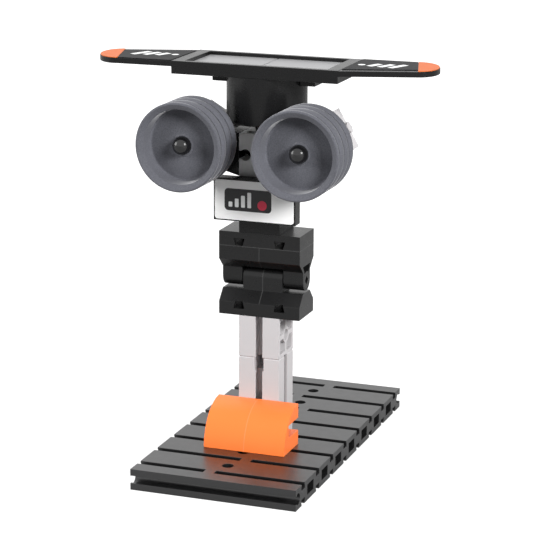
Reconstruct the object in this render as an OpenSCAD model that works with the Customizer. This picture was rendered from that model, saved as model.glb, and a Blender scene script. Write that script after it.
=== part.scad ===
// Desk figure built from a 15 mm construction kit: a grooved base plate, a two-block column, a hinged
// waist, a face plate, two dished wheels for eyes, and a drum that carries a tray with two blades.
// Millimetres. The origin is the middle of the base plate's underside, +Z is up and the face looks to -Y.

/* [Grid] */
// Side of a standard block and spacing of the base plate's grooves
pitch = 15; // [14.4:0.1:15.6]
// Gap left between pieces that slide or turn on each other
clearance = 0.05; // [0.02:0.01:0.08]

/* [Studs and grooves] */
// Radius of the ball on a stud
stud_r = 1.95; // [1.8:0.05:2.05]
// Height of a stud above its face
stud_h = 3.7; // [3.2:0.1:3.9]
// Radius of the neck under the ball
stud_neck_r = 1.25; // [1.0:0.05:1.3]
// Depth of a groove's round channel below the face, at its centre
channel_depth = 2.3; // [2.1:0.05:2.5]
// Width of a groove's mouth
groove_open = 2.7; // [2.7:0.05:3]

/* [Base plate] */
// Width of the base plate, along X
base_w = 60; // [50:1:80]
// Depth of the base plate, along Y
base_d = 120; // [105:1:150]
// Thickness of the base plate
base_h = 7.5; // [7:0.1:9]
// Width of a T-slot's mouth in the plate
slot_mouth = 2.8; // [2.7:0.1:3]
// Width of a T-slot under its lips
slot_w = 3.5; // [3.4:0.1:4]
// Thickness of a T-slot's lips
slot_lip = 0.8; // [0.6:0.1:1]
// Depth of a T-slot
slot_depth = 2.1; // [1.9:0.1:2.4]
// Width of the web that bridges a top slot
web_w = 3.9; // [3.5:0.1:4]
// Distance of the webs from the centre line
web_x = 3.75; // [3.7:0.05:4.5]
// Width of the hollow between two slots
tunnel_w = 6.4; // [5:0.1:7.5]
// Height of the hollow between two slots
tunnel_h = 3.7; // [3:0.1:3.9]
// Radius of the round holes along the centre line
hole_r = 2; // [1.6:0.05:2.2]

/* [Column and nose] */
// Height of the lower column block
column_lower_h = 30; // [20:1:45]
// Height of the upper column block
column_upper_h = 15; // [13:0.5:20]
// Width of the slot across the lower block's top
column_slot_w = 3.6; // [3:0.1:4]
// Depth of the slot across the lower block's top
column_slot_d = 4.8; // [4:0.1:6]
// Depth of the cored pockets in the upper block's sides
core_depth = 4.75; // [3:0.25:5]
// Wall round a cored pocket
core_wall = 1.5; // [1.2:0.05:1.8]
// Outer radius of the ring in a cored pocket
core_ring_r = 2.95; // [2.7:0.05:3.3]
// Radius of the cross bore in the upper block
cross_bore_r = 1.95; // [1.7:0.05:2.1]
// Width of the rounded nose block
nose_w = 30; // [24:1:45]
// Radius of the nose block's round front
nose_r = 15; // [12.5:0.5:18]
// Height of the groove in the nose block's back
nose_groove_h = 4.5; // [3.5:0.1:5.5]
// Thinnest wall between that groove and the round front
nose_wall = 1.4; // [1:0.1:3]

/* [Hinge] */
// Width of the hinge
hinge_w = 30; // [28:1:40]
// Height of the straight foot of the lower half
hinge_foot_h = 4.6; // [4.3:0.1:5.8]
// Height of the pivot above the hinge's underside
pivot_h = 13; // [12.5:0.1:15]
// Height of the upper half above the pivot
hinge_top_h = 17; // [16:0.25:20]
// Height of the upper half's chamfer start above the pivot
fork_h = 7; // [6.6:0.1:7.8]
// Height of that chamfer's foot above the pivot
fork_foot_h = 3.45; // [3.2:0.05:3.6]
// Radius of the knuckles
knuckle_r = 3.75; // [3.6:0.05:4]
// Width of the middle knuckle
knuckle_w = 14.7; // [12:0.1:16]
// Gap beside and above the middle knuckle
knuckle_gap = 0.3; // [0.25:0.05:0.5]
// Gap under the outer knuckles
seat_gap = 0.62; // [0.4:0.02:0.8]
// Radius of the hinge pin
pin_r = 2.2; // [1.8:0.05:2.4]
// Radius of the hinge pin's heads
pin_head_r = 3.2; // [2.9:0.05:3.25]
// Thickness of the hinge pin's heads
pin_head_h = 1.6; // [1.2:0.1:2]
// Side of the square recess in a pin head
pin_key_w = 2.2; // [1.6:0.1:2.6]
// Depth of that recess
pin_key_d = 0.9; // [0.5:0.1:1.1]
// Height of the notch's top above the pivot, over a pin head
notch_h = 5.4; // [4.8:0.1:6]
// Width of the notch at its top
notch_top_w = 7.4; // [6.5:0.1:8]
// Width of the notch where it meets the pin head
notch_low_w = 3.8; // [3:0.1:4.2]
// Depth of the notch from the hinge's end
notch_d = 4; // [2.5:0.1:5]
// Distance of the key slots from the centre line
key_x = 7.5; // [6.5:0.1:9]
// Width of a key slot at its wide side
key_wide = 4.1; // [3.5:0.1:4.4]
// Width of a key slot at its narrow side
key_narrow = 2.6; // [2.2:0.1:3]
// Height of a key slot
key_h = 2.8; // [2.2:0.05:3]
// Distance of a key slot from the face that seats the next block
key_inset = 2.3; // [2:0.05:2.6]
// Wall in front of the hollow behind a key slot
key_wall = 1.2; // [0.9:0.1:1.6]
// How far that hollow is wider than the slot on either side
key_side = 1; // [0.6:0.1:1.2]

/* [Neck, face and head] */
// Height of the riser under the neck block
riser_h = 5; // [4.6:0.1:8]
// Width of the face plate
face_w = 30; // [24:1:40]
// Thickness of the face plate
face_t = 5; // [4.5:0.1:7]
// Corner radius of the face plate's sticker
face_corner_r = 1; // [0.6:0.1:3]
// Black border left round the face plate's sticker
face_border = 0.55; // [0.2:0.05:1.5]
// Thickness of the stickers
sticker_t = 0.25; // [0.15:0.01:0.3]
// Radius of the small holes in the head block's top
head_hole_r = 1.8; // [1.4:0.1:1.9]
// Distance of those holes from the block's middle
head_hole_x = 4; // [3.95:0.05:4.5]
// Depth of those holes
head_hole_d = 3; // [1.5:0.1:3.5]

/* [Eyes] */
// Angle of the wedge between the head and an eye block
eye_tilt = 30; // [24:1:32]
// Thickness of the wedge at its thin side
wedge_thin = 3.25; // [3.1:0.05:5]
// Height of the flat-ended peg on an eye block's outer side
eye_peg_h = 3.2; // [2:0.1:3.7]
// Radius of the axle
axle_r = 1.97; // [1.6:0.01:2.05]
// Distance from the eye block to the tyre
tyre_standoff = 6.2; // [5.5:0.1:9]
// Outer radius of the tyre
tyre_r = 15.4; // [13.5:0.1:16.5]
// Width of the tyre
tyre_w = 17.2; // [15:0.1:20]
// Rise of the tread's round ridges
tread_d = 0.45; // [0.3:0.05:0.9]
// Width of a groove in the tread
tread_gap = 0.55; // [0.3:0.05:0.8]
// Depth of that groove below the ridges' edges
tread_slot_d = 0.6; // [0.2:0.05:0.9]
// Width of the tyre's front lip
lip_w = 2.5; // [1.8:0.1:4]
// Rounding of the lip's outer edge
lip_round = 0.6; // [0.4:0.05:1.1]
// Flat left beside that rounding, on the lip and on the tread
lip_land = 0.1; // [0.05:0.05:0.4]
// Depth of the lip's slope towards the dish
lip_slope = 1.3; // [0.6:0.1:2]
// Depth of the front dish at its wall
dish_d = 6.4; // [5:0.1:8]
// Taper of the dish's wall
dish_taper = 0.4; // [0.1:0.05:1]
// Rise of the dish's floor towards the hub
dish_rise = 1.2; // [0.2:0.1:1.6]
// Rounding between the dish's wall and its floor
dish_fillet = 0.8; // [0.3:0.05:2]
// Width of the bead round the hub
bead_w = 0.7; // [0.6:0.05:1.2]
// Height of the bead round the hub
bead_h = 0.4; // [0.2:0.05:0.6]
// Wall of the tyre round the hollow in its back
tyre_back_wall = 3.6; // [2.5:0.1:5]
// Depth of the hollow in the tyre's back
tyre_back_d = 4; // [2.5:0.1:4.5]
// Rounding at the bottom of that hollow
tyre_back_round = 0.6; // [0.3:0.05:1]
// Radius of the hub's round nose
hub_r = 3.1; // [2.9:0.05:3.6]
// Solid left in the hub before the axle's end
hub_core = 1.2; // [0.8:0.1:2]
// How far the hub's nose lies behind the tyre's front
hub_sink = 1.5; // [0.5:0.1:3]
// Radius of the hub's flange behind the tyre's web
hub_flange_r = 7.5; // [6:0.1:9]
// Radius of the hub's spacer
hub_spacer_r = 4.5; // [3.6:0.1:6]

/* [Drum and tray] */
// Gap between the head block and the drum
drum_gap = 3.6; // [3.3:0.1:6]
// Radius of the drum
drum_r = 14; // [12:0.1:14.6]
// Height of the drum
drum_h = 16.6; // [14.5:0.1:22]
// Chamfer round the drum's lower edge
drum_edge = 0.6; // [0.3:0.05:1.5]
// Radius of the collar on the drum's pivot
collar_r = 4; // [3:0.1:5.5]
// Length of the drum's pivot in the head block and in the drum
pivot_len = 5; // [4:0.1:5.4]
// Width of the rail across the drum
rail_w = 37.4; // [32:0.2:50]
// Depth of the rail, front to back
rail_d = 8; // [6:0.1:10]
// Height of the rail
rail_h = 3.1; // [2:0.1:4]
// Width of the tray
tray_w = 60; // [54:1:75]
// Depth of the tray, front to back
tray_d = 27.5; // [25:0.25:32]
// Thickness of the tray
tray_h = 4.5; // [4:0.1:6]
// Rim at the tray's ends
rim_end = 4.3; // [3:0.1:6]
// Rim at the tray's front and back
rim_side = 2.1; // [1.5:0.1:3]
// Depth of the tray's recess
recess_d = 1.8; // [1.4:0.05:2.2]
// Thickness of the two cell plates
cell_t = 0.6; // [0.4:0.05:1]
// Gap between the two cell plates
cell_gap = 0.5; // [0.3:0.05:1]

/* [Blades] */
// Thickness of a blade
blade_t = 1.9; // [1.6:0.05:2.6]
// Angle of a blade's slanting edge
blade_taper = 17.8; // [12:0.2:20]
// Angle at which a blade's other edge flares out
blade_flare = 1.5; // [0:0.1:3]
// Length of a blade's slanting edge, up to its coloured tip
blade_len = 26.7; // [20:0.1:32]
// How far a blade's root runs into the tray's end rim
blade_root = 1; // [0.5:0.1:2]
// Turn of the round tip
tip_turn = 15.6; // [10:0.2:20]
// How far the round tip stands out
tip_bulge = 7.4; // [5:0.1:10]
// Step from the tray's rim down to a blade's top
blade_step = 0.1; // [0.05:0.05:0.5]
// Bare margin along a blade's slanting edge
blade_margin = 3; // [2:0.1:6]
// Bare margin along the other edges
sticker_margin = 0.4; // [0.3:0.05:1]

/* [Hidden] */
$fn = 64;
eps = 0.01;
half = pitch / 2;

// Colours of the mouldings
black = "#2b2b2c";
dark_grey = "#565759";
pale_grey = "#cbc8ca";
orange = "#ff8a3a";
rubber_grey = "#7c7e87";
cell_grey = "#b9b9bb";
white = "#f4f4f2";
print_black = "#1f1f20";

// Rows of slots on the base plate, and the row that the column stands on
rows = floor(base_d / pitch);
column_row = floor((rows - 1) / 2);
function row_y(i) = (i - (rows - 1) / 2) * pitch;
axis_y = row_y(column_row);
front_y = axis_y - half;

// Heights of the stack, from the base plate up
column_z = base_h;
column_upper_z = column_z + column_lower_h;
hinge_z = column_upper_z + column_upper_h;
pivot_z = hinge_z + pivot_h;
riser_z = pivot_z + hinge_top_h;
neck_z = riser_z + riser_h;
head_z = neck_z + pitch;
head_top_z = head_z + pitch;
drum_z = head_top_z + drum_gap;
tray_z = drum_z + drum_h;
tray_top_z = tray_z + tray_h;

// Studs, sockets and channels share one size
socket_r = stud_r + clearance;
socket_d = stud_h + clearance;
channel_r = socket_r;

// Feet that sit in the base plate's T-slots, and the peg that sits in the column's slot
foot_neck_r = slot_mouth / 2 - clearance;
foot_r = slot_w / 2 - clearance;
peg_r = column_slot_w / 2 - clearance;

// The nose block's groove stops short of its round front
nose_groove_z = nose_r / 2;
nose_groove_top = nose_groove_z + nose_groove_h / 2;
nose_groove_d = sqrt(nose_r * nose_r - nose_groove_top * nose_groove_top) - nose_wall;

// Shoulders of the two hinge halves, measured from the pivot
lower_shoulder = knuckle_r + seat_gap;
upper_shoulder = knuckle_r + knuckle_gap;

// The wedge has two faces as long as a block; the eye block stands square on the outer one
wedge_thick = wedge_thin + 2 * pitch * sin(eye_tilt / 2);
seat_top = [half + wedge_thin * cos(eye_tilt / 2), head_top_z + wedge_thin * sin(eye_tilt / 2)];
seat_bottom = [half + wedge_thick * cos(eye_tilt / 2), head_z + wedge_thick * sin(eye_tilt / 2)];
eye_x = (seat_top[0] + seat_bottom[0]) / 2 + half * cos(eye_tilt);
eye_z = (seat_top[1] + seat_bottom[1]) / 2 + half * sin(eye_tilt);

// Wheel sizes along its axle, measured forwards from the eye block's front face
axle_bore_r = axle_r + clearance;
tyre_front = tyre_standoff + tyre_w;
hub_bore_r = hub_r + clearance;
web_back = tyre_standoff + tyre_back_d;
hub_tip = tyre_front - hub_sink - hub_r;
axle_end = web_back - hub_core;
wheel_gap = 0.2;

// The tyre's section, measured forwards from its own back edge; the lip slopes inwards to the dish's wall
lip_r = tyre_r - lip_w;
lip_crest_r = tyre_r - lip_round - lip_land;
tread_slot_r = tyre_r - tread_d - tread_slot_d;
tyre_back_r = tyre_r - tyre_back_wall;
tread_edges = [0, 0.25, 0.53, 0.83, 1];
last_ridge = len(tread_edges) - 2;
arc_steps = 4;
dish_floor = tyre_w - dish_d;
dish_foot_r = lip_r - dish_taper;
web_front = dish_floor + dish_rise;
bead_r = hub_bore_r + bead_w;

// One blade seen from above, in the tray's own middle: the left one, its straight edge to the front
blade_root_x = -tray_w / 2;
blade_back = [blade_root_x, tray_d / 2];
blade_front = [blade_root_x, -tray_d / 2];
blade_dir = [-cos(blade_taper), -sin(blade_taper)];
flare = tan(blade_flare);
tip_back = blade_back + blade_len * blade_dir;
tip_reach = blade_root_x - tip_back[0];
tip_w = (tip_back[1] + tray_d / 2 + flare * tip_reach) / (cos(tip_turn) + flare * sin(tip_turn));
tip_in = [sin(tip_turn), -cos(tip_turn)];
tip_out = [-cos(tip_turn), -sin(tip_turn)];
tip_front = tip_back + tip_w * tip_in;
blade_top_z = tray_top_z - blade_step;
tip_steps = 28;

// Keyhole section of a groove: its mouth is on the line y = 0 and the material lies below
module keyhole() {
    translate([-groove_open / 2, -channel_depth]) square([groove_open, channel_depth + eps]);
    translate([0, -channel_depth]) circle(r = channel_r);
}

// Groove that runs along Z with its mouth to +Y
module groove(length) {
    linear_extrude(length + 2 * eps, center = true) keyhole();
}

// Upright groove in the side of a block that faces the given way round Z, counted from +Y
module side_groove(turn, height) {
    rotate([0, 0, turn]) translate([0, half, height / 2]) groove(height);
}

// Stud that stands on the plane z = 0
module stud() {
    translate([0, 0, -eps]) cylinder(r = stud_neck_r, h = channel_depth);
    intersection() {
        translate([0, 0, channel_depth]) sphere(r = stud_r);
        cylinder(r = 2 * stud_r, h = stud_h);
    }
}

// Round socket for a stud, sunk below the plane z = 0
module socket() {
    translate([0, 0, -socket_d]) cylinder(r = socket_r, h = socket_d + eps);
}

// Foot that hangs below the plane z = 0 into a T-slot
module foot() {
    translate([0, 0, -slot_lip - clearance]) cylinder(r = foot_neck_r, h = slot_lip + clearance + eps);
    translate([0, 0, -slot_depth + clearance]) cylinder(r = foot_r, h = slot_depth - slot_lip - 2 * clearance);
}

// Plain block that stands on the plane z = 0
module block(height) {
    translate([-half, -half, 0]) cube([pitch, pitch, height]);
}

// Section of a T-slot with its mouth on the line y = 0
module t_slot() {
    translate([-slot_mouth / 2, -slot_depth]) square([slot_mouth, slot_depth + eps]);
    translate([-slot_w / 2, -slot_depth]) square([slot_w, slot_depth - slot_lip]);
}

// T-slot along X with its mouth to +Z, from x0 to x1
module t_slot_x(x0, x1) {
    translate([x0, 0, 0]) rotate([90, 0, 90]) linear_extrude(x1 - x0) t_slot();
}

module base_plate() {
    reach = base_w / 2 + 1;
    color(black) difference() {
        translate([-base_w / 2, -base_d / 2, 0]) cube([base_w, base_d, base_h]);
        for (i = [0 : rows - 1]) {
            // The webs step from side to side, row by row
            web = (i % 2 == 0 ? -1 : 1) * web_x;
            translate([0, row_y(i), base_h]) {
                t_slot_x(-reach, web - web_w / 2);
                t_slot_x(web + web_w / 2, reach);
            }
            translate([0, row_y(i), 0]) mirror([0, 0, 1]) t_slot_x(-reach, reach);
        }
        for (i = [0 : rows - 2]) {
            y = row_y(i) + half;
            translate([-reach, y - tunnel_w / 2, (base_h - tunnel_h) / 2])
                cube([2 * reach, tunnel_w, tunnel_h]);
            translate([0, y, -eps]) cylinder(r = hole_r, h = base_h + 2 * eps);
        }
        for (side = [0, 180]) {
            rotate([0, 0, side]) translate([0, base_d / 2, base_h / 2]) rotate([0, 90, 0]) groove(2 * reach);
        }
    }
}

module nose_block() {
    color(orange) translate([0, front_y, column_z]) {
        rotate([90, 0, 90]) linear_extrude(nose_w, center = true) difference() {
            intersection() {
                circle(r = nose_r);
                translate([-nose_r, 0]) square(nose_r);
            }
            translate([-nose_groove_d, nose_groove_z - nose_groove_h / 2])
                square([nose_groove_d + eps, nose_groove_h]);
        }
        for (side = [-1, 1]) translate([side * key_x, axis_y - front_y - pitch, 0]) foot();
    }
}

module column_lower_block() {
    color(pale_grey) translate([0, axis_y, column_z]) {
        difference() {
            block(column_lower_h);
            for (turn = [0, 90, 180, 270]) side_groove(turn, column_lower_h);
            translate([-column_slot_w / 2, -pitch, column_lower_h - column_slot_d])
                cube([column_slot_w, 2 * pitch, column_slot_d + eps]);
        }
        foot();
    }
}

// Cored pocket of the upper column block, cut inwards from the plane x = 0
module core_pocket() {
    inside = pitch - 2 * core_wall;
    height = column_upper_h - 2 * core_wall;
    rotate([90, 0, 90]) translate([0, 0, -core_depth]) linear_extrude(core_depth + eps) difference() {
        translate([-inside / 2, -height / 2]) square([inside, height]);
        circle(r = core_ring_r);
        square([core_wall, column_upper_h], center = true);
        square([pitch, core_wall], center = true);
    }
}

module column_upper_block() {
    mid = column_upper_h / 2;
    color(pale_grey) translate([0, axis_y, column_upper_z]) {
        difference() {
            block(column_upper_h);
            for (turn = [0, 180]) side_groove(turn, column_upper_h);
            for (side = [0, 180]) rotate([0, 0, side]) translate([half, 0, mid]) core_pocket();
            translate([0, 0, mid]) rotate([0, 90, 0]) cylinder(r = cross_bore_r, h = pitch + 2, center = true);
        }
        translate([0, 0, -stud_h]) cylinder(r = peg_r, h = stud_h + eps);
        translate([0, 0, column_upper_h]) stud();
    }
}

// Trapezoid key slot right through the hinge, front to back, narrow side up, hollow behind each face
module key_slot() {
    hollow_w = key_wide + 2 * key_side;
    hollow_d = pitch - 2 * key_wall;
    rotate([90, 0, 0]) linear_extrude(2 * pitch, center = true)
        polygon([[-key_wide / 2, 0], [key_wide / 2, 0], [key_narrow / 2, key_h], [-key_narrow / 2, key_h]]);
    translate([-hollow_w / 2, -hollow_d / 2, 0]) cube([hollow_w, hollow_d, key_h]);
}

// Knuckle section: a round end on the pivot and a leg that reaches the given height
module knuckle(reach) {
    circle(r = knuckle_r);
    translate([-knuckle_r, min(0, reach)]) square([2 * knuckle_r, abs(reach)]);
}

// Solid along X, as wide as given, from a section in the Y-Z plane
module along_x(width) {
    rotate([90, 0, 90]) linear_extrude(width, center = true) children();
}

module hinge_lower_half() {
    color(black) translate([0, axis_y, pivot_z]) difference() {
        union() {
            along_x(hinge_w) polygon([
                [-half, -pivot_h], [half, -pivot_h], [half, hinge_foot_h - pivot_h],
                [knuckle_r, -lower_shoulder], [-knuckle_r, -lower_shoulder], [-half, hinge_foot_h - pivot_h]
            ]);
            along_x(knuckle_w) knuckle(hinge_foot_h - pivot_h);
        }
        rotate([0, 90, 0]) cylinder(r = pin_r + clearance / 2, h = hinge_w, center = true);
        for (side = [-1, 1]) translate([side * key_x, 0, key_inset - pivot_h]) key_slot();
        translate([0, 0, -pivot_h]) mirror([0, 0, 1]) socket();
    }
}

// Notch above a pin head, its narrow side down, cut inwards from the plane x = 0
module pin_notch() {
    low_h = sqrt(pin_head_r * pin_head_r - notch_low_w * notch_low_w / 4);
    rotate([90, 0, 90]) translate([0, 0, -notch_d]) linear_extrude(notch_d + eps) polygon([
        [-notch_low_w / 2, low_h], [notch_low_w / 2, low_h],
        [notch_top_w / 2, notch_h], [-notch_top_w / 2, notch_h]
    ]);
}

module hinge_upper_half() {
    gap_w = knuckle_w + 2 * knuckle_gap;
    pocket_d = pin_head_h + knuckle_gap;
    color(black) translate([0, axis_y, pivot_z]) difference() {
        union() {
            along_x(hinge_w) polygon([
                [-half, hinge_top_h], [half, hinge_top_h], [half, fork_h],
                [knuckle_r, fork_foot_h], [-knuckle_r, fork_foot_h], [-half, fork_h]
            ]);
            along_x(hinge_w) knuckle(fork_h);
        }
        translate([-gap_w / 2, -pitch, -pitch]) cube([gap_w, 2 * pitch, pitch + upper_shoulder]);
        rotate([0, 90, 0]) cylinder(r = pin_r + clearance, h = hinge_w + 2, center = true);
        for (side = [0, 180]) rotate([0, 0, side]) translate([hinge_w / 2, 0, 0]) {
            translate([-pocket_d, 0, 0]) rotate([0, 90, 0])
                cylinder(r = pin_head_r + clearance, h = pocket_d + 1);
            pin_notch();
        }
        for (side = [-1, 1]) translate([side * key_x, 0, hinge_top_h - key_inset]) mirror([0, 0, 1]) key_slot();
        translate([0, 0, hinge_top_h]) socket();
    }
}

module hinge_pin() {
    head_x = hinge_w / 2 - pin_head_h;
    color(black) translate([0, axis_y, pivot_z]) {
        rotate([0, 90, 0]) cylinder(r = pin_r, h = 2 * head_x + 2 * eps, center = true);
        for (side = [0, 180]) rotate([0, 0, side]) translate([head_x, 0, 0]) rotate([0, 90, 0]) difference() {
            cylinder(r = pin_head_r, h = pin_head_h);
            translate([0, 0, pin_head_h]) rotate([0, 0, 45])
                cube([pin_key_w, pin_key_w, 2 * pin_key_d], center = true);
        }
    }
}

module neck_riser() {
    color(black) translate([0, axis_y, riser_z]) {
        difference() {
            block(riser_h);
            translate([0, 0, riser_h]) socket();
        }
        mirror([0, 0, 1]) stud();
    }
}

module neck_block() {
    color(black) translate([0, axis_y, neck_z]) {
        difference() {
            block(pitch);
            for (turn = [0, 90, 270]) side_groove(turn, pitch);
            translate([0, 0, pitch]) socket();
            translate([0, -half, half]) rotate([90, 0, 0]) socket();
        }
        mirror([0, 0, 1]) stud();
    }
}

module face_plate() {
    color(black) translate([0, front_y, neck_z]) {
        translate([-face_w / 2, -face_t, 0]) cube([face_w, face_t, pitch]);
        translate([0, 0, half]) rotate([-90, 0, 0]) stud();
    }
}

module face_sticker() {
    w = face_w - 2 * face_border;
    h = pitch - 2 * face_border;
    r = face_corner_r;
    color(white) translate([0, front_y - face_t, neck_z + half]) rotate([90, 0, 0]) linear_extrude(sticker_t) {
        square([w - 2 * r, h], center = true);
        square([w, h - 2 * r], center = true);
        for (x = [-1, 1], y = [-1, 1]) translate([x * (w / 2 - r), y * (h / 2 - r)]) circle(r = r);
    }
}

module head_block() {
    color(dark_grey) translate([0, axis_y, head_z]) {
        difference() {
            block(pitch);
            for (side = [-90, 90]) rotate([0, 0, side])
                translate([0, half, half]) rotate([0, 90, 0]) groove(pitch);
            translate([0, 0, pitch - pivot_len - clearance]) cylinder(r = axle_bore_r, h = pivot_len + 1);
            for (x = [-1, 1], y = [-1, 1])
                translate([x * head_hole_x, y * head_hole_x, pitch - head_hole_d])
                    cylinder(r = head_hole_r, h = head_hole_d + eps);
        }
        mirror([0, 0, 1]) stud();
    }
}

// Puts its children on the right of the head, or mirrors them to the left
module eye_side(side) {
    mirror([side < 0 ? 1 : 0, 0, 0]) children();
}

// Puts its children on the eye block's own axes, with +X away from the head
module eye_axes() {
    translate([eye_x, axis_y, eye_z]) rotate([0, -eye_tilt, 0]) children();
}

module angle_block(side) {
    color(black) eye_side(side) {
        difference() {
            translate([0, axis_y + half, 0]) rotate([90, 0, 0]) linear_extrude(pitch)
                polygon([[half, head_z], seat_bottom, seat_top, [half, head_top_z]]);
            eye_axes() translate([-half, 0, 0]) rotate([0, 90, 0]) socket();
        }
        translate([half, axis_y, head_z + half]) rotate([0, -90, 0]) stud();
    }
}

module eye_block(side) {
    color(pale_grey) eye_side(side) eye_axes() {
        difference() {
            cube(pitch, center = true);
            rotate([90, 0, 0]) cylinder(r = axle_bore_r, h = pitch + 2, center = true);
            for (flip = [0, 180]) rotate([flip, 0, 0])
                translate([0, 0, half]) rotate([90, 0, 90]) groove(pitch);
        }
        rotate([0, -90, 0]) translate([0, 0, half]) stud();
        rotate([0, 90, 0]) translate([0, 0, half - eps]) cylinder(r = stud_r, h = eye_peg_h + eps);
    }
}

// Turns a section, radius along X and distance forwards along Y, about the wheel's axle
module wheel_turn() {
    translate([eye_x, front_y, eye_z]) rotate([90, 0, 0]) rotate_extrude() children();
}

// Points of an arc about a centre
function arc(centre, r, from, to) = [
    for (i = [0 : arc_steps])
        let (t = from + (to - from) * i / arc_steps)
        centre + r * [cos(t), sin(t)]
];

// One ridge of the tread, a round crown between two grooves; the front one ends in the lip's outer edge
function ridge(i) =
    let (last = i == last_ridge)
    let (back = tread_edges[i] * tyre_w + (i == 0 ? 0 : tread_gap / 2))
    let (front = tread_edges[i + 1] * tyre_w - (last ? lip_round : tread_gap / 2))
    let (reach = last ? front - lip_land - back : (front - back) / 2)
    let (crown_r = (reach * reach + tread_d * tread_d) / (2 * tread_d))
    let (turn = asin(reach / crown_r))
    concat(
        arc([tyre_r - crown_r, back + reach], crown_r, -turn, last ? 0 : turn),
        last ? arc([tyre_r - lip_round, front], lip_round, 0, 90)
             : [[tread_slot_r, front], [tread_slot_r, front + tread_gap]]
    );

module eye_tyre(side) {
    color(rubber_grey) eye_side(side) wheel_turn() translate([0, tyre_standoff]) polygon(concat(
        [for (i = [0 : last_ridge], p = ridge(i)) p],
        [[lip_crest_r, tyre_w], [lip_r, tyre_w - lip_slope]],
        arc([dish_foot_r - dish_fillet, dish_floor + dish_fillet], dish_fillet, 0, -90),
        [[bead_r, web_front], [bead_r - bead_h, web_front + bead_h],
         [hub_bore_r, web_front + bead_h], [hub_bore_r, tyre_back_d],
         [tyre_back_r - tyre_back_round, tyre_back_d], [tyre_back_r, tyre_back_d - tyre_back_round],
         [tyre_back_r, 0]]
    ));
}

module eye_hub(side) {
    color(black) eye_side(side) difference() {
        wheel_turn() {
            // Round nose
            intersection() {
                translate([0, hub_tip]) circle(r = hub_r);
                translate([0, hub_tip]) square(2 * hub_r);
            }
            // Barrel through the tyre's web, flange behind it, spacer to the eye block
            translate([0, web_back - eps]) square([hub_r, hub_tip - web_back + 2 * eps]);
            translate([0, tyre_standoff]) square([hub_flange_r, tyre_back_d]);
            translate([0, wheel_gap]) square([hub_spacer_r, tyre_standoff - wheel_gap + eps]);
        }
        translate([eye_x, front_y, eye_z]) rotate([90, 0, 0])
            cylinder(r = axle_bore_r, h = axle_end + clearance);
    }
}

module eye_axle(side) {
    color(black) eye_side(side) translate([eye_x, front_y, eye_z]) rotate([90, 0, 0])
        translate([0, 0, -pitch]) cylinder(r = axle_r, h = pitch + axle_end);
}

module crown_pivot() {
    color(black) translate([0, axis_y, head_top_z]) {
        translate([0, 0, -pivot_len]) cylinder(r = axle_r, h = 2 * pivot_len + drum_gap);
        translate([0, 0, 2 * clearance]) cylinder(r = collar_r, h = drum_gap - 2 * clearance);
    }
}

module crown_drum() {
    color(black) translate([0, axis_y, drum_z]) difference() {
        rotate_extrude()
            polygon([[0, 0], [drum_r - drum_edge, 0], [drum_r, drum_edge], [drum_r, drum_h], [0, drum_h]]);
        translate([0, 0, -1]) cylinder(r = axle_bore_r, h = 1 + pivot_len + clearance);
        translate([-2 * drum_r, -rail_d / 2 - clearance, drum_h - rail_h - clearance])
            cube([4 * drum_r, rail_d + 2 * clearance, rail_h + 1]);
    }
}

module tray_rail() {
    color(black) translate([-rail_w / 2, axis_y - rail_d / 2, tray_z - rail_h]) cube([rail_w, rail_d, rail_h]);
}

// Places children in the tray's own middle, turned half round for the right-hand side
module on_tray(side) {
    translate([0, axis_y, 0]) rotate([0, 0, side < 0 ? 0 : 180]) children();
}

// Points of a blade's round tip, from its front corner to its back corner, drawn in by the given margin
function tip_points(margin) = [
    for (i = [0 : tip_steps])
        let (t = 180 * i / tip_steps)
        (tip_front + tip_back) / 2
        + cos(t) * (tip_w / 2 - margin) * tip_in
        + sin(t) * (tip_bulge - margin) * tip_out
];

// A blade from above, its root drawn in a little and sunk into the tray's end rim
module blade_outline() {
    polygon(concat(
        [blade_back, blade_back + [blade_root, -blade_root],
         blade_front + [blade_root, blade_root], blade_front],
        tip_points(0)
    ));
}

module blade_tray() {
    inner_w = tray_w - 2 * rim_end;
    inner_d = tray_d - 2 * rim_side;
    color(black) {
        translate([0, axis_y, tray_z]) difference() {
            translate([-tray_w / 2, -tray_d / 2, 0]) cube([tray_w, tray_d, tray_h]);
            translate([-inner_w / 2, -inner_d / 2, tray_h - recess_d]) cube([inner_w, inner_d, recess_d + 1]);
        }
        for (side = [-1, 1]) on_tray(side)
            translate([0, 0, blade_top_z - blade_t]) linear_extrude(blade_t) blade_outline();
    }
}

module tray_cell(side) {
    play = 2 * clearance;
    cell_w = tray_w / 2 - rim_end - cell_gap / 2 - play;
    cell_d = tray_d - 2 * rim_side - 2 * play;
    color(cell_grey) on_tray(side)
        translate([-cell_gap / 2 - cell_w, -cell_d / 2, tray_top_z - recess_d]) cube([cell_w, cell_d, cell_t]);
}

module blade_sticker(side) {
    m = sticker_margin;
    bare = blade_margin;
    seam = 2 * clearance * tip_out;
    color(print_black) on_tray(side) translate([0, 0, blade_top_z]) linear_extrude(sticker_t) polygon([
        blade_back + [-m, -m * tan(blade_taper) - bare / cos(blade_taper)], blade_front + [-m, m - m * flare],
        tip_front - m * tip_in - seam, tip_back + bare * tip_in - seam
    ]);
}

module blade_tip(side) {
    color(orange) on_tray(side) translate([0, 0, blade_top_z]) linear_extrude(sticker_t)
        polygon(tip_points(sticker_margin / 2));
}

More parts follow.
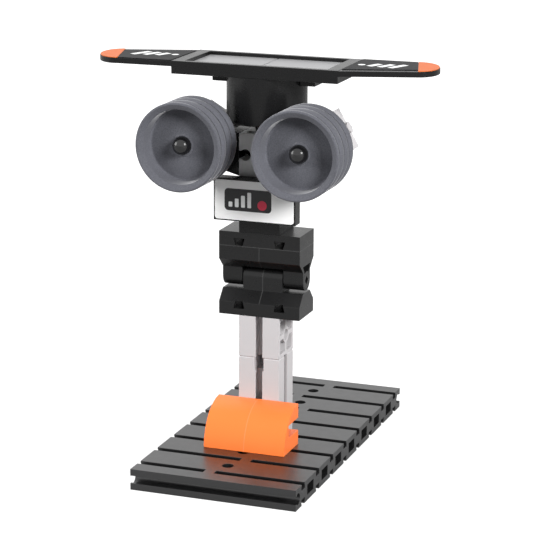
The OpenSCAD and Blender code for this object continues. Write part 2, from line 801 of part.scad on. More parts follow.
base_plate();
nose_block();
column_lower_block();
column_upper_block();
hinge_lower_half();
hinge_pin();
hinge_upper_half();
neck_riser();
neck_block();
face_plate();
face_sticker();
head_block();
angle_block(-1);  // angle_block_left
angle_block(1);  // angle_block_right
eye_block(-1);  // eye_block_left
eye_block(1);  // eye_block_right
eye_axle(-1);  // eye_axle_left
eye_axle(1);  // eye_axle_right
eye_hub(-1);  // eye_hub_left
eye_hub(1);  // eye_hub_right
eye_tyre(-1);  // eye_tyre_left
eye_tyre(1);  // eye_tyre_right
crown_pivot();
crown_drum();
tray_rail();
blade_tray();
tray_cell(-1);  // tray_cell_left
tray_cell(1);  // tray_cell_right
blade_sticker(-1);  // blade_sticker_left
blade_sticker(1);  // blade_sticker_right
blade_tip(-1);  // blade_tip_left
blade_tip(1);  // blade_tip_right
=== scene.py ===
# Looks, light and camera for a robot figure built of kit blocks on a grooved base plate
import math

import bpy
from mathutils import Matrix, Vector


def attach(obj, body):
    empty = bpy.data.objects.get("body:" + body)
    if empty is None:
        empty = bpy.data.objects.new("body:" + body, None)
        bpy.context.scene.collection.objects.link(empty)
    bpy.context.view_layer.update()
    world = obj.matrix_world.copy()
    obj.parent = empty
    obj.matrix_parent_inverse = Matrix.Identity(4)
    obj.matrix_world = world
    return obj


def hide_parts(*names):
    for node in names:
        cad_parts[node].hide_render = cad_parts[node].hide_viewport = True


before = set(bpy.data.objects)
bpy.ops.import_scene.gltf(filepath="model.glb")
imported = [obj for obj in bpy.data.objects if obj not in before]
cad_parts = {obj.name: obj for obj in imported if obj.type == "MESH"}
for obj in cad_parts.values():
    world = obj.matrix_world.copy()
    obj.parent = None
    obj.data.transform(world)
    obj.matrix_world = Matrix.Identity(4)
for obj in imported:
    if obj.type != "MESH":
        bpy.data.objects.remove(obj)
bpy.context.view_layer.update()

MM = 0.001
SAME_PLACE = 0.01 * MM
scene = bpy.context.scene
scene.view_settings.view_transform = "Standard"


# Selecting and finishing pieces

def pick(piece):
    """Makes one piece the only selected and active object."""
    bpy.ops.object.select_all(action="DESELECT")
    piece.select_set(True)
    bpy.context.view_layer.objects.active = piece


def open_mesh(piece):
    """Goes into edit mode on a piece with its whole mesh selected."""
    pick(piece)
    bpy.ops.object.mode_set(mode="EDIT")
    bpy.ops.mesh.select_all(action="SELECT")


def close_mesh():
    """Goes back to object mode."""
    bpy.ops.object.mode_set(mode="OBJECT")


def settle(piece, body, material, node):
    """Puts a piece's place into its mesh, gives it its finish and seats it on its body."""
    pick(piece)
    bpy.ops.object.transform_apply(location=True, rotation=True, scale=True)
    piece.data.materials.clear()
    piece.data.materials.append(material)
    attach(piece, body)
    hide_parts(node)


# Blocks: copies of the solids with moulded edges

BLOCK_DOUBLES = 0.002 * MM
BLOCK_FLAT = math.radians(0.4)
BLOCK_CORNER = math.radians(35)
BLOCK_SMOOTH = math.radians(42)
EDGE_STEPS = 2
JOINT_SLOPE = 0.25 * MM


def soft_edges(piece, width):
    """Rounds a piece's corners as a mould does, and keeps its flat faces flat."""
    pick(piece)
    bevel = piece.modifiers.new("edges", "BEVEL")
    bevel.width = width
    bevel.segments = EDGE_STEPS
    bevel.limit_method = "ANGLE"
    bevel.angle_limit = BLOCK_CORNER
    bevel.use_clamp_overlap = False
    bpy.ops.object.modifier_apply(modifier="edges")
    bpy.ops.object.shade_smooth_by_angle(angle=BLOCK_SMOOTH)
    weighted = piece.modifiers.new("faces", "WEIGHTED_NORMAL")
    weighted.keep_sharp = True
    bpy.ops.object.modifier_apply(modifier="faces")


def ease_joint(piece, level):
    """Slopes a block's outer edges at the level where it meets the next block."""
    corners = [v.co for v in piece.data.vertices if abs(v.co.z - level) < SAME_PLACE]
    sides = [(axis, end(c[axis] for c in corners)) for axis in (0, 1) for end in (min, max)]
    open_mesh(piece)
    bpy.ops.mesh.select_mode(type="EDGE")
    bpy.ops.mesh.select_all(action="DESELECT")
    close_mesh()
    for edge in piece.data.edges:
        ends = [piece.data.vertices[v].co for v in edge.vertices]
        at_level = all(abs(e.z - level) < SAME_PLACE for e in ends)
        at_side = any(all(abs(e[axis] - side) < SAME_PLACE for e in ends) for axis, side in sides)
        edge.select = at_level and at_side
    bpy.ops.object.mode_set(mode="EDIT")
    bpy.ops.mesh.bevel(offset=JOINT_SLOPE, segments=1, affect="EDGES")
    bpy.ops.mesh.select_mode(type="VERT")
    close_mesh()


def rounded_block(node, width, joints):
    """A copy of a block with its loose triangles joined into faces and its corners rounded."""
    piece = bpy.data.objects.new(node + "_moulding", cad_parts[node].data.copy())
    scene.collection.objects.link(piece)
    open_mesh(piece)
    bpy.ops.mesh.customdata_custom_splitnormals_clear()
    bpy.ops.mesh.remove_doubles(threshold=BLOCK_DOUBLES)
    bpy.ops.mesh.dissolve_limited(angle_limit=BLOCK_FLAT)
    close_mesh()
    for level in joints:
        ease_joint(piece, level * MM)
    soft_edges(piece, width)
    return piece


# Turned pieces: half sections spun round an axle

TURNED_DOUBLES = 0.005 * MM
TURNED_SMOOTH = math.radians(30)


def turned(name, outline, axle, steps):
    """Draws a half section point by point and spins it once round an axle that runs front to back."""
    points = [
        Vector((axle[0] + across * MM, axle[1] - forward * MM, axle[2])) for across, forward in outline
    ]
    bpy.ops.object.select_all(action="DESELECT")
    bpy.ops.mesh.primitive_plane_add(size=MM, location=(0, 0, 0))
    piece = bpy.context.object
    piece.name = name
    open_mesh(piece)
    bpy.ops.mesh.merge(type="CENTER")
    bpy.ops.transform.translate(value=points[0])
    for here, there in zip(points, points[1:]):
        bpy.ops.mesh.extrude_vertices_move(TRANSFORM_OT_translate={"value": there - here})
    bpy.ops.mesh.select_all(action="SELECT")
    bpy.ops.mesh.spin(steps=steps, angle=math.tau, center=axle, axis=(0, 1, 0))
    bpy.ops.mesh.select_all(action="SELECT")
    bpy.ops.mesh.remove_doubles(threshold=TURNED_DOUBLES)
    bpy.ops.mesh.normals_make_consistent(inside=False)
    close_mesh()
    bpy.ops.object.shade_smooth_by_angle(angle=TURNED_SMOOTH)
    return piece


def arc(across, forward, radius, start, stop, steps=8):
    """Points of an arc in a half section, angles in degrees from the way outwards."""
    turns = [math.radians(start + (stop - start) * i / steps) for i in range(steps + 1)]
    return [(across + radius * math.cos(t), forward + radius * math.sin(t)) for t in turns]


def eased(before, corner, after, radius, steps=6):
    """Points that round a corner of a half section between the points before and after it."""
    corner = Vector(corner)
    one = (Vector(before) - corner).normalized()
    other = (Vector(after) - corner).normalized()
    half = one.angle(other) / 2
    centre = corner + (one + other).normalized() * radius / math.sin(half)
    start = corner + one * radius / math.tan(half) - centre
    stop = corner + other * radius / math.tan(half) - centre
    mixes = [i / steps for i in range(steps + 1)]
    return [tuple(centre + start.lerp(stop, m).normalized() * radius) for m in mixes]


# Node groups that the finishes share

CLOUDS_PER_METRE = 90
SMEARS_PER_METRE = 260
SMEAR_DETAIL = 0.62
SEAM_HALF_WIDE = 0.15 * MM
PRINT_BLUR = 0.03 * MM


def new_group(name, inputs, outputs):
    """An empty shader node group with named inputs and outputs."""
    group = bpy.data.node_groups.new(name, "ShaderNodeTree")
    for label, kind, value in inputs:
        socket = group.interface.new_socket(label, in_out="INPUT", socket_type=kind)
        socket.default_value = value
    for label, kind in outputs:
        group.interface.new_socket(label, in_out="OUTPUT", socket_type=kind)
    return group, group.nodes.new("NodeGroupInput"), group.nodes.new("NodeGroupOutput")


def math_node(group, operation, first, second=None, third=None):
    """A math node fed by sockets or plain numbers; gives its output."""
    node = group.nodes.new("ShaderNodeMath")
    node.operation = operation
    for place, value in enumerate((first, second, third)):
        if value is None:
            continue
        if isinstance(value, (int, float)):
            node.inputs[place].default_value = value
        else:
            group.links.new(value, node.inputs[place])
    return node.outputs[0]


def noise_node(group, place, scale, detail, roughness=0.5):
    """A noise texture whose scale is a plain number or a socket; gives its value."""
    node = group.nodes.new("ShaderNodeTexNoise")
    node.inputs["Detail"].default_value = detail
    node.inputs["Roughness"].default_value = roughness
    group.links.new(place, node.inputs["Vector"])
    if isinstance(scale, (int, float)):
        node.inputs["Scale"].default_value = scale
    else:
        group.links.new(scale, node.inputs["Scale"])
    return node.outputs["Fac"]


def surface_group():
    """Uneven tone, fine speckle, uneven gloss and a moulded grain, shared by all the plastics."""
    number, colour = "NodeSocketFloat", "NodeSocketColor"
    group, entry, leave = new_group(
        "moulded_surface",
        (("Colour", colour, (0.5, 0.5, 0.5, 1)), ("Tone", number, 0.06), ("Speckle", number, 0.0),
         ("Gloss", number, 0.35), ("Gloss Spread", number, 0.1), ("Grain Size", number, 1800.0)),
        (("Colour", colour), ("Roughness", number), ("Height", number)),
    )
    given = entry.outputs
    place = group.nodes.new("ShaderNodeTexCoord").outputs["Object"]
    clouds = noise_node(group, place, CLOUDS_PER_METRE, 3)
    smears = noise_node(group, place, SMEARS_PER_METRE, 5, SMEAR_DETAIL)
    grain = noise_node(group, place, given["Grain Size"], 2)
    uneven = math_node(group, "MULTIPLY", math_node(group, "SUBTRACT", clouds, 0.5), given["Tone"])
    dots = math_node(group, "MULTIPLY", math_node(group, "SUBTRACT", grain, 0.5), given["Speckle"])
    tone = math_node(group, "ADD", math_node(group, "ADD", uneven, dots), 1)
    shade = group.nodes.new("ShaderNodeVectorMath")
    shade.operation = "SCALE"
    group.links.new(given["Colour"], shade.inputs[0])
    group.links.new(tone, shade.inputs["Scale"])
    smeared = math_node(group, "SUBTRACT", smears, 0.5)
    gloss = math_node(group, "MULTIPLY_ADD", smeared, given["Gloss Spread"], given["Gloss"])
    group.links.new(shade.outputs[0], leave.inputs["Colour"])
    group.links.new(gloss, leave.inputs["Roughness"])
    group.links.new(grain, leave.inputs["Height"])
    return group


def seam_group():
    """A fine raised line where two halves of a mould met, square to one axis; its mask also carries the
    line's painted highlight in the finishes.
    """
    number = "NodeSocketFloat"
    group, entry, leave = new_group(
        "mould_seam",
        (("Along", number, 0.0), ("Place", number, 0.0), ("Half Width", number, SEAM_HALF_WIDE),
         ("Height", number, 0.0), ("Low", number, 0.0), ("High", number, 1.0)),
        (("Mask", number),),
    )
    given = entry.outputs
    off = math_node(group, "ABSOLUTE", math_node(group, "SUBTRACT", given["Along"], given["Place"]))
    share = math_node(group, "DIVIDE", off, given["Half Width"])
    line = math_node(group, "SUBTRACT", 1, math_node(group, "MINIMUM", share, 1))
    above = math_node(group, "GREATER_THAN", given["Height"], given["Low"])
    below = math_node(group, "LESS_THAN", given["Height"], given["High"])
    mask = math_node(group, "MULTIPLY", line, math_node(group, "MULTIPLY", above, below))
    group.links.new(mask, leave.inputs["Mask"])
    return group


def patch_group():
    """One printed shape with round corners on a flat film, placed and turned in the film's plane."""
    number, vector = "NodeSocketFloat", "NodeSocketVector"
    group, entry, leave = new_group(
        "printed_patch",
        (("Place", vector, (0, 0, 0)), ("Centre", vector, (0, 0, 0)), ("Turn", number, 0.0),
         ("Half Size", vector, (MM, MM, 1)), ("Corner", number, 0.2 * MM)),
        (("Mask", number),),
    )
    given = entry.outputs

    def vector_node(operation, first, second=None):
        node = group.nodes.new("ShaderNodeVectorMath")
        node.operation = operation
        group.links.new(first, node.inputs[0])
        if second is not None:
            group.links.new(second, node.inputs[1])
        return node

    centred = vector_node("SUBTRACT", given["Place"], given["Centre"])
    turn = group.nodes.new("ShaderNodeVectorRotate")
    turn.rotation_type = "Z_AXIS"
    group.links.new(centred.outputs[0], turn.inputs["Vector"])
    group.links.new(given["Turn"], turn.inputs["Angle"])
    folded = vector_node("ABSOLUTE", turn.outputs[0])
    beyond = vector_node("SUBTRACT", folded.outputs[0], given["Half Size"])
    corner = group.nodes.new("ShaderNodeCombineXYZ")
    for axis in ("X", "Y", "Z"):
        group.links.new(given["Corner"], corner.inputs[axis])
    rounded = vector_node("ADD", beyond.outputs[0], corner.outputs[0])
    outside = vector_node("MAXIMUM", rounded.outputs[0])
    outside.inputs[1].default_value = (0, 0, 0)
    reach = vector_node("LENGTH", outside.outputs[0])
    over = math_node(group, "SUBTRACT", reach.outputs["Value"], given["Corner"])
    edge = group.nodes.new("ShaderNodeMapRange")
    edge.inputs["From Min"].default_value = PRINT_BLUR
    edge.inputs["From Max"].default_value = -PRINT_BLUR
    group.links.new(over, edge.inputs["Value"])
    group.links.new(edge.outputs["Result"], leave.inputs["Mask"])
    return group


moulded_surface = surface_group()
mould_seam = seam_group()
printed_patch = patch_group()


# Finishes

SEAM_RISE = 4
SHEEN_SPREAD = 0.35


def placed_group(tree, group, values):
    """Places a shared node group in a material, with values for its named inputs."""
    node = tree.nodes.new("ShaderNodeGroup")
    node.node_tree = group
    for label, value in values.items():
        node.inputs[label].default_value = value
    return node


def laid_over(tree, shade, mask, top_colour):
    """Lays a plain colour over another where a mask is one, for a print or for a painted highlight; gives
    the new colour.
    """
    mixed = tree.nodes.new("ShaderNodeMix")
    mixed.data_type = "RGBA"
    mixed.inputs["B"].default_value = (*top_colour, 1)
    tree.links.new(mask, mixed.inputs["Factor"])
    tree.links.new(shade, mixed.inputs["A"])
    return mixed.outputs["Result"]


def seam_mask(tree, place, axis, spot, low, high):
    """A mask of one mould line at a spot along an axis, between two heights."""
    seam = placed_group(tree, mould_seam, {"Place": spot * MM, "Low": low * MM, "High": high * MM})
    tree.links.new(place.outputs[axis], seam.inputs["Along"])
    tree.links.new(place.outputs["Z"], seam.inputs["Height"])
    return seam.outputs["Mask"]


def print_mask(tree, flat, centre, half_size, corner, turn):
    """A mask of one printed shape in the plane of its film."""
    patch = placed_group(tree, printed_patch, {
        "Centre": (centre[0] * MM, centre[1] * MM, 0),
        "Half Size": (half_size[0] * MM, half_size[1] * MM, 1),
        "Corner": corner * MM,
        "Turn": math.radians(turn),
    })
    tree.links.new(flat, patch.inputs["Place"])
    return patch.outputs["Mask"]


def plastic(name, colour, tone, gloss, depth, spread=0.12, grain=1800.0, specular=0.5, speckle=0.0,
            sheen=0.0, metallic=0.0, seams=(), seam_highlight=0.0, prints=(), film_axes=(0, 1)):
    """A moulded plastic, a metal or a printed film. Depth is how deep its grain goes, in millimetres.

    Seams are an axis, a place along it and the heights between which the line shows, in millimetres; each
    line is raised in the bump, and seam_highlight lightens its colour as a painted highlight.
    Prints are shapes laid over the colour in the plane of the film's axes: centre, half size and corner
    in millimetres, a turn in degrees and a colour."""
    material = bpy.data.materials.new(name)
    material.use_nodes = True
    tree = material.node_tree
    nodes, links = tree.nodes, tree.links
    shader = nodes["Principled BSDF"]
    shader.inputs["Specular IOR Level"].default_value = specular
    shader.inputs["Sheen Weight"].default_value = sheen
    shader.inputs["Sheen Roughness"].default_value = SHEEN_SPREAD
    shader.inputs["Metallic"].default_value = metallic
    skin = placed_group(tree, moulded_surface, {
        "Colour": (*colour, 1), "Tone": tone, "Speckle": speckle,
        "Gloss": gloss, "Gloss Spread": spread, "Grain Size": grain,
    })
    shade, height = skin.outputs["Colour"], skin.outputs["Height"]
    if seams or prints:
        place = nodes.new("ShaderNodeSeparateXYZ")
        links.new(nodes.new("ShaderNodeTexCoord").outputs["Object"], place.inputs[0])
    for seam in seams:
        mask = seam_mask(tree, place, *seam)
        # Each mould line is lightened in colour by seam_highlight, a painted highlight on its ridge.
        shade = laid_over(tree, shade, mask, [min(1, c + seam_highlight) for c in colour])
        height = math_node(tree, "MULTIPLY_ADD", mask, SEAM_RISE, height)
    if prints:
        flat = nodes.new("ShaderNodeCombineXYZ")
        links.new(place.outputs[film_axes[0]], flat.inputs["X"])
        links.new(place.outputs[film_axes[1]], flat.inputs["Y"])
    for *shape, top_colour in prints:
        shade = laid_over(tree, shade, print_mask(tree, flat.outputs[0], *shape), top_colour)
    bump = nodes.new("ShaderNodeBump")
    bump.inputs["Strength"].default_value = 1
    bump.inputs["Distance"].default_value = depth * MM
    links.new(shade, shader.inputs["Base Color"])
    links.new(skin.outputs["Roughness"], shader.inputs["Roughness"])
    links.new(height, bump.inputs["Height"])
    links.new(bump.outputs["Normal"], shader.inputs["Normal"])
    return material


WHITE_INK = (0.85, 0.86, 0.86)
BLACK_INK = (0.008, 0.008, 0.009)
RED_INK = (0.6, 0.03, 0.07)

# A black panel with a row of rising white bars and a red lamp, on the face film
PANEL_CENTRE = (-2.2, 95.2)
PANEL_HALF_SIZE = (8.6, 3.9)
PANEL_CORNER = 1.4
BAR_START = -8.6
BAR_PITCH = 2.3
BAR_FOOT = 92.6
BAR_HALF_WIDE = 0.7
BAR_HALF_TALL = (0.9, 1.5, 2.1, 2.7)
BAR_CORNER = 0.3
SPOT_CENTRE = (3.0, 93.8)
SPOT_R = 1.7

face_prints = [(PANEL_CENTRE, PANEL_HALF_SIZE, PANEL_CORNER, 0, BLACK_INK)]
for bar, tall in enumerate(BAR_HALF_TALL):
    bar_centre = (BAR_START + BAR_PITCH * bar, BAR_FOOT + tall)
    face_prints.append((bar_centre, (BAR_HALF_WIDE, tall), BAR_CORNER, 0, WHITE_INK))
face_prints.append((SPOT_CENTRE, (SPOT_R, SPOT_R), SPOT_R, 0, RED_INK))

# Slanting white bars and a dot on the blade films, one blade turned half round from the other
BLADE_MIDDLE = -7.5
STRIPE_ACROSS = 46.2
STRIPE_PITCH = 4.1
STRIPE_ASIDE = 1.8
STRIPE_HALF_WIDE = 1.25
STRIPE_HALF_LONG = (4.2, 3.6, 3.0)
STRIPE_CORNER = 0.2
STRIPE_SLANT = 24
DOT_ACROSS = 33.6
DOT_ASIDE = 1.2
DOT_R = 1.3

blade_prints = []
for side in (-1, 1):
    for stripe, long in enumerate(STRIPE_HALF_LONG):
        across = side * (STRIPE_ACROSS - STRIPE_PITCH * stripe)
        stripe_centre = (across, BLADE_MIDDLE + side * STRIPE_ASIDE)
        blade_prints.append(
            (stripe_centre, (STRIPE_HALF_WIDE, long), STRIPE_CORNER, STRIPE_SLANT, WHITE_INK)
        )
    dot_centre = (side * DOT_ACROSS, BLADE_MIDDLE + side * DOT_ASIDE)
    blade_prints.append((dot_centre, (DOT_R, DOT_R), DOT_R, 0, WHITE_INK))

# Mould lines, each raised in the bump and lightened as a painted highlight: level round the hinge's upper
# half, down the hinge's middle, and over the nose
HINGE_SEAMS = ((2, 77.4, 77, 78), (0, 0.0, 57.2, 77.4))
NOSE_SEAMS = ((0, 0.0, 0, 40),)

base_black = plastic(
    "base_black", (0.008, 0.008, 0.0083), tone=0.2, gloss=0.32, depth=0.006, spread=0.16, specular=1.0,
)
kit_black = plastic(
    "kit_black", (0.0065, 0.0065, 0.0067), tone=0.2, gloss=0.27, depth=0.006, spread=0.14, specular=0.3,
)
hinge_black = plastic(
    "hinge_black", (0.0065, 0.0065, 0.0067), tone=0.2, gloss=0.29, depth=0.006, spread=0.14,
    specular=0.4, seams=HINGE_SEAMS, seam_highlight=0.05,
)
hub_black = plastic(
    "hub_black", (0.005, 0.005, 0.0053), tone=0.2, gloss=0.15, depth=0.002, spread=0.04, specular=0.75,
)
dark_grey = plastic("dark_grey", (0.7, 0.7, 0.702), tone=0.1, gloss=0.45, depth=0.006, specular=0.3)
pale_grey = plastic("pale_grey", (0.495, 0.479, 0.487), tone=0.05, gloss=0.4, depth=0.006)
orange_plastic = plastic(
    "orange_plastic", (0.93, 0.2, 0.045), tone=0.05, gloss=0.36, depth=0.006, specular=0.3,
    seams=NOSE_SEAMS, seam_highlight=0.08,
)
tyre_grey = plastic(
    "tyre_grey", (0.102, 0.104, 0.119), tone=0.1, gloss=0.6, depth=0.015, grain=2600.0, specular=0.15,
    speckle=0.9, sheen=0.45,
)
cell_grey = plastic("cell_grey", (0.29, 0.29, 0.296), tone=0.05, gloss=0.35, depth=0.003)
film_face = plastic(
    "film_face", (0.95, 0.95, 0.945), tone=0.03, gloss=0.4, depth=0.003, specular=0.45,
    prints=face_prints, film_axes=(0, 2),
)
film_blade = plastic(
    "film_blade", (0.012, 0.012, 0.013), tone=0.2, gloss=0.5, depth=0.003, specular=0.08,
    prints=blade_prints,
)
film_orange = plastic(
    "film_orange", (0.59, 0.125, 0.02), tone=0.04, gloss=0.45, depth=0.003, specular=0.3,
)
axle_steel = plastic("axle_steel", (0.6, 0.6, 0.62), tone=0.05, gloss=0.3, depth=0.002, metallic=1)


# Blocks, plates, hinge halves and films, each with the width of its rounded edges in millimetres

COLUMN_JOINT = 37.5
joints = {"column_lower_block": (COLUMN_JOINT,), "column_upper_block": (COLUMN_JOINT,)}

for node, body, slot, material, width in (
    ("base_plate", "base", "base_black", base_black, 0.12),
    ("nose_block", "base", "orange_plastic", orange_plastic, 0.18),
    ("column_lower_block", "base", "pale_grey", pale_grey, 0.09),
    ("column_upper_block", "base", "pale_grey", pale_grey, 0.09),
    ("hinge_lower_half", "base", "kit_black", hinge_black, 0.1),
    ("hinge_pin", "torso", "kit_black", kit_black, 0.12),
    ("hinge_upper_half", "torso", "kit_black", hinge_black, 0.12),
    ("neck_riser", "torso", "kit_black", kit_black, 0.15),
    ("neck_block", "torso", "kit_black", kit_black, 0.15),
    ("face_plate", "torso", "kit_black", kit_black, 0.15),
    ("face_sticker", "torso", "sticker_white", film_face, 0.06),
    ("head_block", "torso", "dark_grey", dark_grey, 0.15),
    ("angle_block_left", "torso", "kit_black", kit_black, 0.12),
    ("angle_block_right", "torso", "kit_black", kit_black, 0.12),
    ("eye_block_left", "torso", "pale_grey", pale_grey, 0.12),
    ("eye_block_right", "torso", "pale_grey", pale_grey, 0.12),
    ("crown_pivot", "crown", "kit_black", kit_black, 0.15),
    ("crown_drum", "crown", "kit_black", kit_black, 0.15),
    ("tray_rail", "crown", "kit_black", kit_black, 0.12),
    ("blade_tray", "crown", "kit_black", kit_black, 0.15),
    ("tray_cell_left", "crown", "cell_grey", cell_grey, 0.12),
    ("tray_cell_right", "crown", "cell_grey", cell_grey, 0.12),
    ("blade_sticker_left", "crown", "sticker_black", film_blade, 0.06),
    ("blade_sticker_right", "crown", "sticker_black", film_blade, 0.06),
    ("blade_tip_left", "crown", "sticker_orange", film_orange, 0.06),
    ("blade_tip_right", "crown", "sticker_orange", film_orange, 0.06),
):
    settle(rounded_block(node, width * MM, joints.get(node, ())), body, material, node)

for node in ("eye_axle_left", "eye_axle_right"):
    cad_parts[node].data.materials.clear()
    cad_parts[node].data.materials.append(axle_steel)


# Wheels: a dished tyre with a soft ridged tread and a round-nosed hub, each turned on its axle

EYE_ACROSS = 20.885
EYE_BACK = 15.0
EYE_UP = 115.597
WHEEL_GAP = 0.2

TYRE_BACK = 6.2
TYRE_WIDE = 17.2
TYRE_R = 15.4
TYRE_BACK_R = 11.8
TYRE_HOLLOW = 4.0
HOLLOW_SLOPE = 0.6
TYRE_STEPS = 144
TREAD_DEEP = 0.65
TREAD_GAP = 0.9
TREAD_EDGES = (0, 0.25, 0.53, 0.83, 1)
RIDGE_STEPS = 10
SLOT_DEEP = 0.6
LIP_R = 12.9
LIP_ROUND = 0.6
LIP_LAND = 0.1
LIP_SLOPE = 1.3
MOUTH_ROUND = 0.35
DISH_FLOOR = 10.8
DISH_TAPER = 0.4
DISH_RISE = 1.2
DISH_FILLET = 0.8
BEAD_R = 0.4
BEAD_WIDE = 0.7

HUB_R = 3.1
HUB_BORE_R = 3.15
HUB_TIP = 18.85
HUB_NOSE_R = 3.3
HUB_NOSE_START = -4
HUB_NECK = 0.3
HUB_FLANGE_R = 7.5
HUB_SPACER_R = 4.5
HUB_SLOPE = 0.2
HUB_STEPS = 96
NOSE_STEPS = 18
AXLE_BORE_R = 2.02
AXLE_END = 9.05

tyre_outline = []
slot_r = TYRE_R - TREAD_DEEP - SLOT_DEEP
last_ridge = len(TREAD_EDGES) - 2
for ridge in range(last_ridge + 1):
    last = ridge == last_ridge
    back = TREAD_EDGES[ridge] * TYRE_WIDE + (TREAD_GAP / 2 if ridge else 0)
    front = TREAD_EDGES[ridge + 1] * TYRE_WIDE - (LIP_ROUND if last else TREAD_GAP / 2)
    reach = front - LIP_LAND - back if last else (front - back) / 2
    crown_r = (reach ** 2 + TREAD_DEEP ** 2) / (2 * TREAD_DEEP)
    turn = math.degrees(math.asin(reach / crown_r))
    tyre_outline += arc(TYRE_R - crown_r, back + reach, crown_r, -turn, 0 if last else turn, RIDGE_STEPS)
    if not last:
        tyre_outline += [(slot_r, front), (slot_r, front + TREAD_GAP)]
crest = (TYRE_R - LIP_ROUND - LIP_LAND, TYRE_WIDE)
mouth = (LIP_R, TYRE_WIDE - LIP_SLOPE)
foot_r = LIP_R - DISH_TAPER
web_front = DISH_FLOOR + DISH_RISE
tyre_outline += arc(TYRE_R - LIP_ROUND, TYRE_WIDE - LIP_ROUND, LIP_ROUND, 0, 90)
tyre_outline += eased(tyre_outline[-1], crest, mouth, LIP_LAND)
tyre_outline += eased(crest, mouth, (foot_r, DISH_FLOOR), MOUTH_ROUND)
tyre_outline += arc(foot_r - DISH_FILLET, DISH_FLOOR + DISH_FILLET, DISH_FILLET, 0, -90)
tyre_outline += arc(HUB_BORE_R + BEAD_WIDE - BEAD_R, web_front, BEAD_R, 0, 90)
tyre_outline += [(HUB_BORE_R, web_front + BEAD_R), (HUB_BORE_R, TYRE_HOLLOW)]
tyre_outline += [(TYRE_BACK_R - HOLLOW_SLOPE, TYRE_HOLLOW), (TYRE_BACK_R, TYRE_HOLLOW - HOLLOW_SLOPE)]
tyre_outline += [(TYRE_BACK_R, 0), tyre_outline[0]]
tyre_outline = [(across, forward + TYRE_BACK) for across, forward in tyre_outline]

hub_outline = [(0, AXLE_END), (AXLE_BORE_R, AXLE_END), (AXLE_BORE_R, WHEEL_GAP)]
hub_outline += [(HUB_SPACER_R - HUB_SLOPE, WHEEL_GAP), (HUB_SPACER_R, WHEEL_GAP + HUB_SLOPE)]
hub_outline += [(HUB_SPACER_R, TYRE_BACK)]
hub_outline += [(HUB_FLANGE_R - HUB_SLOPE, TYRE_BACK), (HUB_FLANGE_R, TYRE_BACK + HUB_SLOPE)]
hub_outline += [(HUB_FLANGE_R, TYRE_BACK + TYRE_HOLLOW), (HUB_R, TYRE_BACK + TYRE_HOLLOW)]
hub_outline += [(HUB_R, HUB_TIP - HUB_NECK)]
hub_outline += arc(0, HUB_TIP, HUB_NOSE_R, HUB_NOSE_START, 90, NOSE_STEPS)

for side, label in ((-1, "left"), (1, "right")):
    body = "eye_" + label
    axle = (side * EYE_ACROSS * MM, -EYE_BACK * MM, EYE_UP * MM)
    tyre = turned("tyre_" + label, tyre_outline, axle, TYRE_STEPS)
    settle(tyre, body, tyre_grey, "eye_tyre_" + label)
    hub = turned("hub_" + label, hub_outline, axle, HUB_STEPS)
    settle(hub, body, hub_black, "eye_hub_" + label)


# Lamps

LAMP_AIM = Vector((0, 0, 0.08))
LAMP_IN_GLOSS = 0.2
GLINT_AHEAD = 0.01


def lamp(name, place, size, power):
    """A round soft lamp, of which glossy surfaces mirror only a small share.

    The share that is mirrored hangs a little nearer, so that mirrored rays meet it first."""
    for part, share, nearness in (("_light", 1 - LAMP_IN_GLOSS, 0), ("_glint", LAMP_IN_GLOSS, GLINT_AHEAD)):
        light = bpy.data.lights.new(name + part, "AREA")
        light.shape = "DISK"
        light.size = size
        light.energy = power * share
        holder = bpy.data.objects.new(name + part, light)
        scene.collection.objects.link(holder)
        holder.location = LAMP_AIM.lerp(Vector(place), 1 - nearness)
        holder.rotation_euler = (LAMP_AIM - Vector(place)).to_track_quat("-Z", "Y").to_euler()
        holder.visible_glossy = part == "_glint"


lamp("right_lamp", place=(1.30, -0.83, 0.83), size=0.6, power=44)
lamp("left_lamp", place=(-1.46, -0.66, 0.62), size=0.9, power=32)
lamp("top_lamp", place=(-0.3, 0.6, 1.55), size=1.2, power=12.5)
lamp("back_lamp", place=(-1.3, 1.05, 0.6), size=1.4, power=9)


# Floor and background

FLOOR_R = 6
FLOOR_SIDES = 96
FLOOR_DROP = 0.02 * MM
FLOOR_GREY = (0.3, 0.3, 0.3, 1)
FLOOR_ROUGH = 0.9
FLOOR_SPECULAR = 0.1
FLOOR_NEAR = 0.1
FLOOR_FAR = 0.5
FLOOR_NEAR_GLOW = 0.8
FLOOR_IN_GLOSS = 0.14
WORLD_ON_PIECES = 0.03
WHITE = (1, 1, 1, 1)


def shown_rays(tree):
    """One where the background is seen: by the camera, in a gloss or through a clear piece."""
    rays = tree.nodes.new("ShaderNodeLightPath")
    glossy = math_node(tree, "MAXIMUM", rays.outputs["Is Camera Ray"], rays.outputs["Is Glossy Ray"])
    return math_node(tree, "MAXIMUM", glossy, rays.outputs["Is Transmission Ray"])


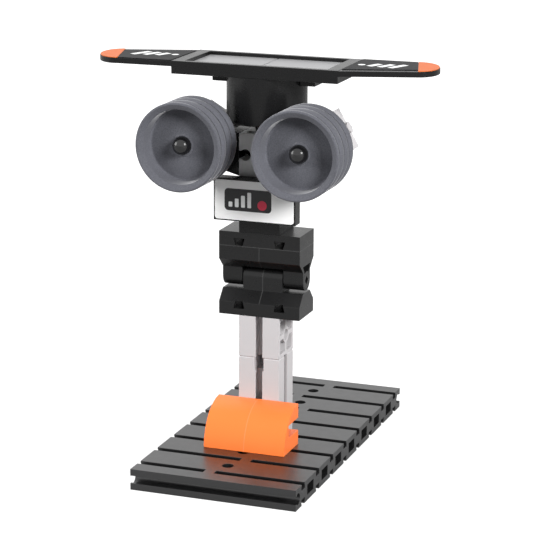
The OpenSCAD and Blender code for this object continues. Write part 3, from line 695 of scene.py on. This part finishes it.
bpy.ops.object.select_all(action="DESELECT")
bpy.ops.mesh.primitive_circle_add(
    vertices=FLOOR_SIDES, radius=FLOOR_R, fill_type="NGON", location=(0, 0, -FLOOR_DROP),
)
floor = bpy.context.object
floor.name = "floor"
floor_paint = bpy.data.materials.new("floor_paint")
floor_paint.use_nodes = True
tree = floor_paint.node_tree
floor_shader = tree.nodes["Principled BSDF"]
floor_shader.inputs["Base Color"].default_value = FLOOR_GREY
floor_shader.inputs["Roughness"].default_value = FLOOR_ROUGH
floor_shader.inputs["Specular IOR Level"].default_value = FLOOR_SPECULAR
floor_shader.inputs["Emission Color"].default_value = WHITE
far = tree.nodes.new("ShaderNodeVectorMath")
far.operation = "LENGTH"
tree.links.new(tree.nodes.new("ShaderNodeTexCoord").outputs["Object"], far.inputs[0])
lift = tree.nodes.new("ShaderNodeMapRange")
lift.inputs["From Min"].default_value = FLOOR_NEAR
lift.inputs["From Max"].default_value = FLOOR_FAR
lift.inputs["To Min"].default_value = FLOOR_NEAR_GLOW
lift.inputs["To Max"].default_value = 1
tree.links.new(far.outputs["Value"], lift.inputs["Value"])
seen = tree.nodes.new("ShaderNodeLightPath").outputs["Is Camera Ray"]
mirrored = math_node(tree, "MULTIPLY", shown_rays(tree), FLOOR_IN_GLOSS)
shown = math_node(tree, "MAXIMUM", math_node(tree, "MULTIPLY", seen, lift.outputs["Result"]), mirrored)
tree.links.new(shown, floor_shader.inputs["Emission Strength"])
floor.data.materials.append(floor_paint)

world = bpy.data.worlds.new("studio")
scene.world = world
world.use_nodes = True
tree = world.node_tree
level = tree.nodes.new("ShaderNodeMapRange")
level.inputs["To Min"].default_value = WORLD_ON_PIECES
level.inputs["To Max"].default_value = 1
tree.links.new(shown_rays(tree), level.inputs["Value"])
tree.links.new(level.outputs["Result"], tree.nodes["Background"].inputs["Strength"])
tree.nodes["Background"].inputs["Color"].default_value = WHITE


# Camera

CAMERA_PLACE = (0.24722, -0.68088, 0.25322)
CAMERA_AZIMUTH = math.radians(19.917)
CAMERA_ELEVATION = math.radians(14.632)
CAMERA_ROLL = math.radians(0.289)
CAMERA_LENS = 137.8
CAMERA_SENSOR = 36

camera = bpy.data.objects.new("camera", bpy.data.cameras.new("camera"))
scene.collection.objects.link(camera)
camera.data.lens = CAMERA_LENS
camera.data.sensor_width = CAMERA_SENSOR
camera.matrix_world = (
    Matrix.Translation(CAMERA_PLACE)
    @ Matrix.Rotation(CAMERA_AZIMUTH, 4, "Z")
    @ Matrix.Rotation(math.pi / 2 - CAMERA_ELEVATION, 4, "X")
    @ Matrix.Rotation(CAMERA_ROLL, 4, "Z")
)
scene.camera = camera
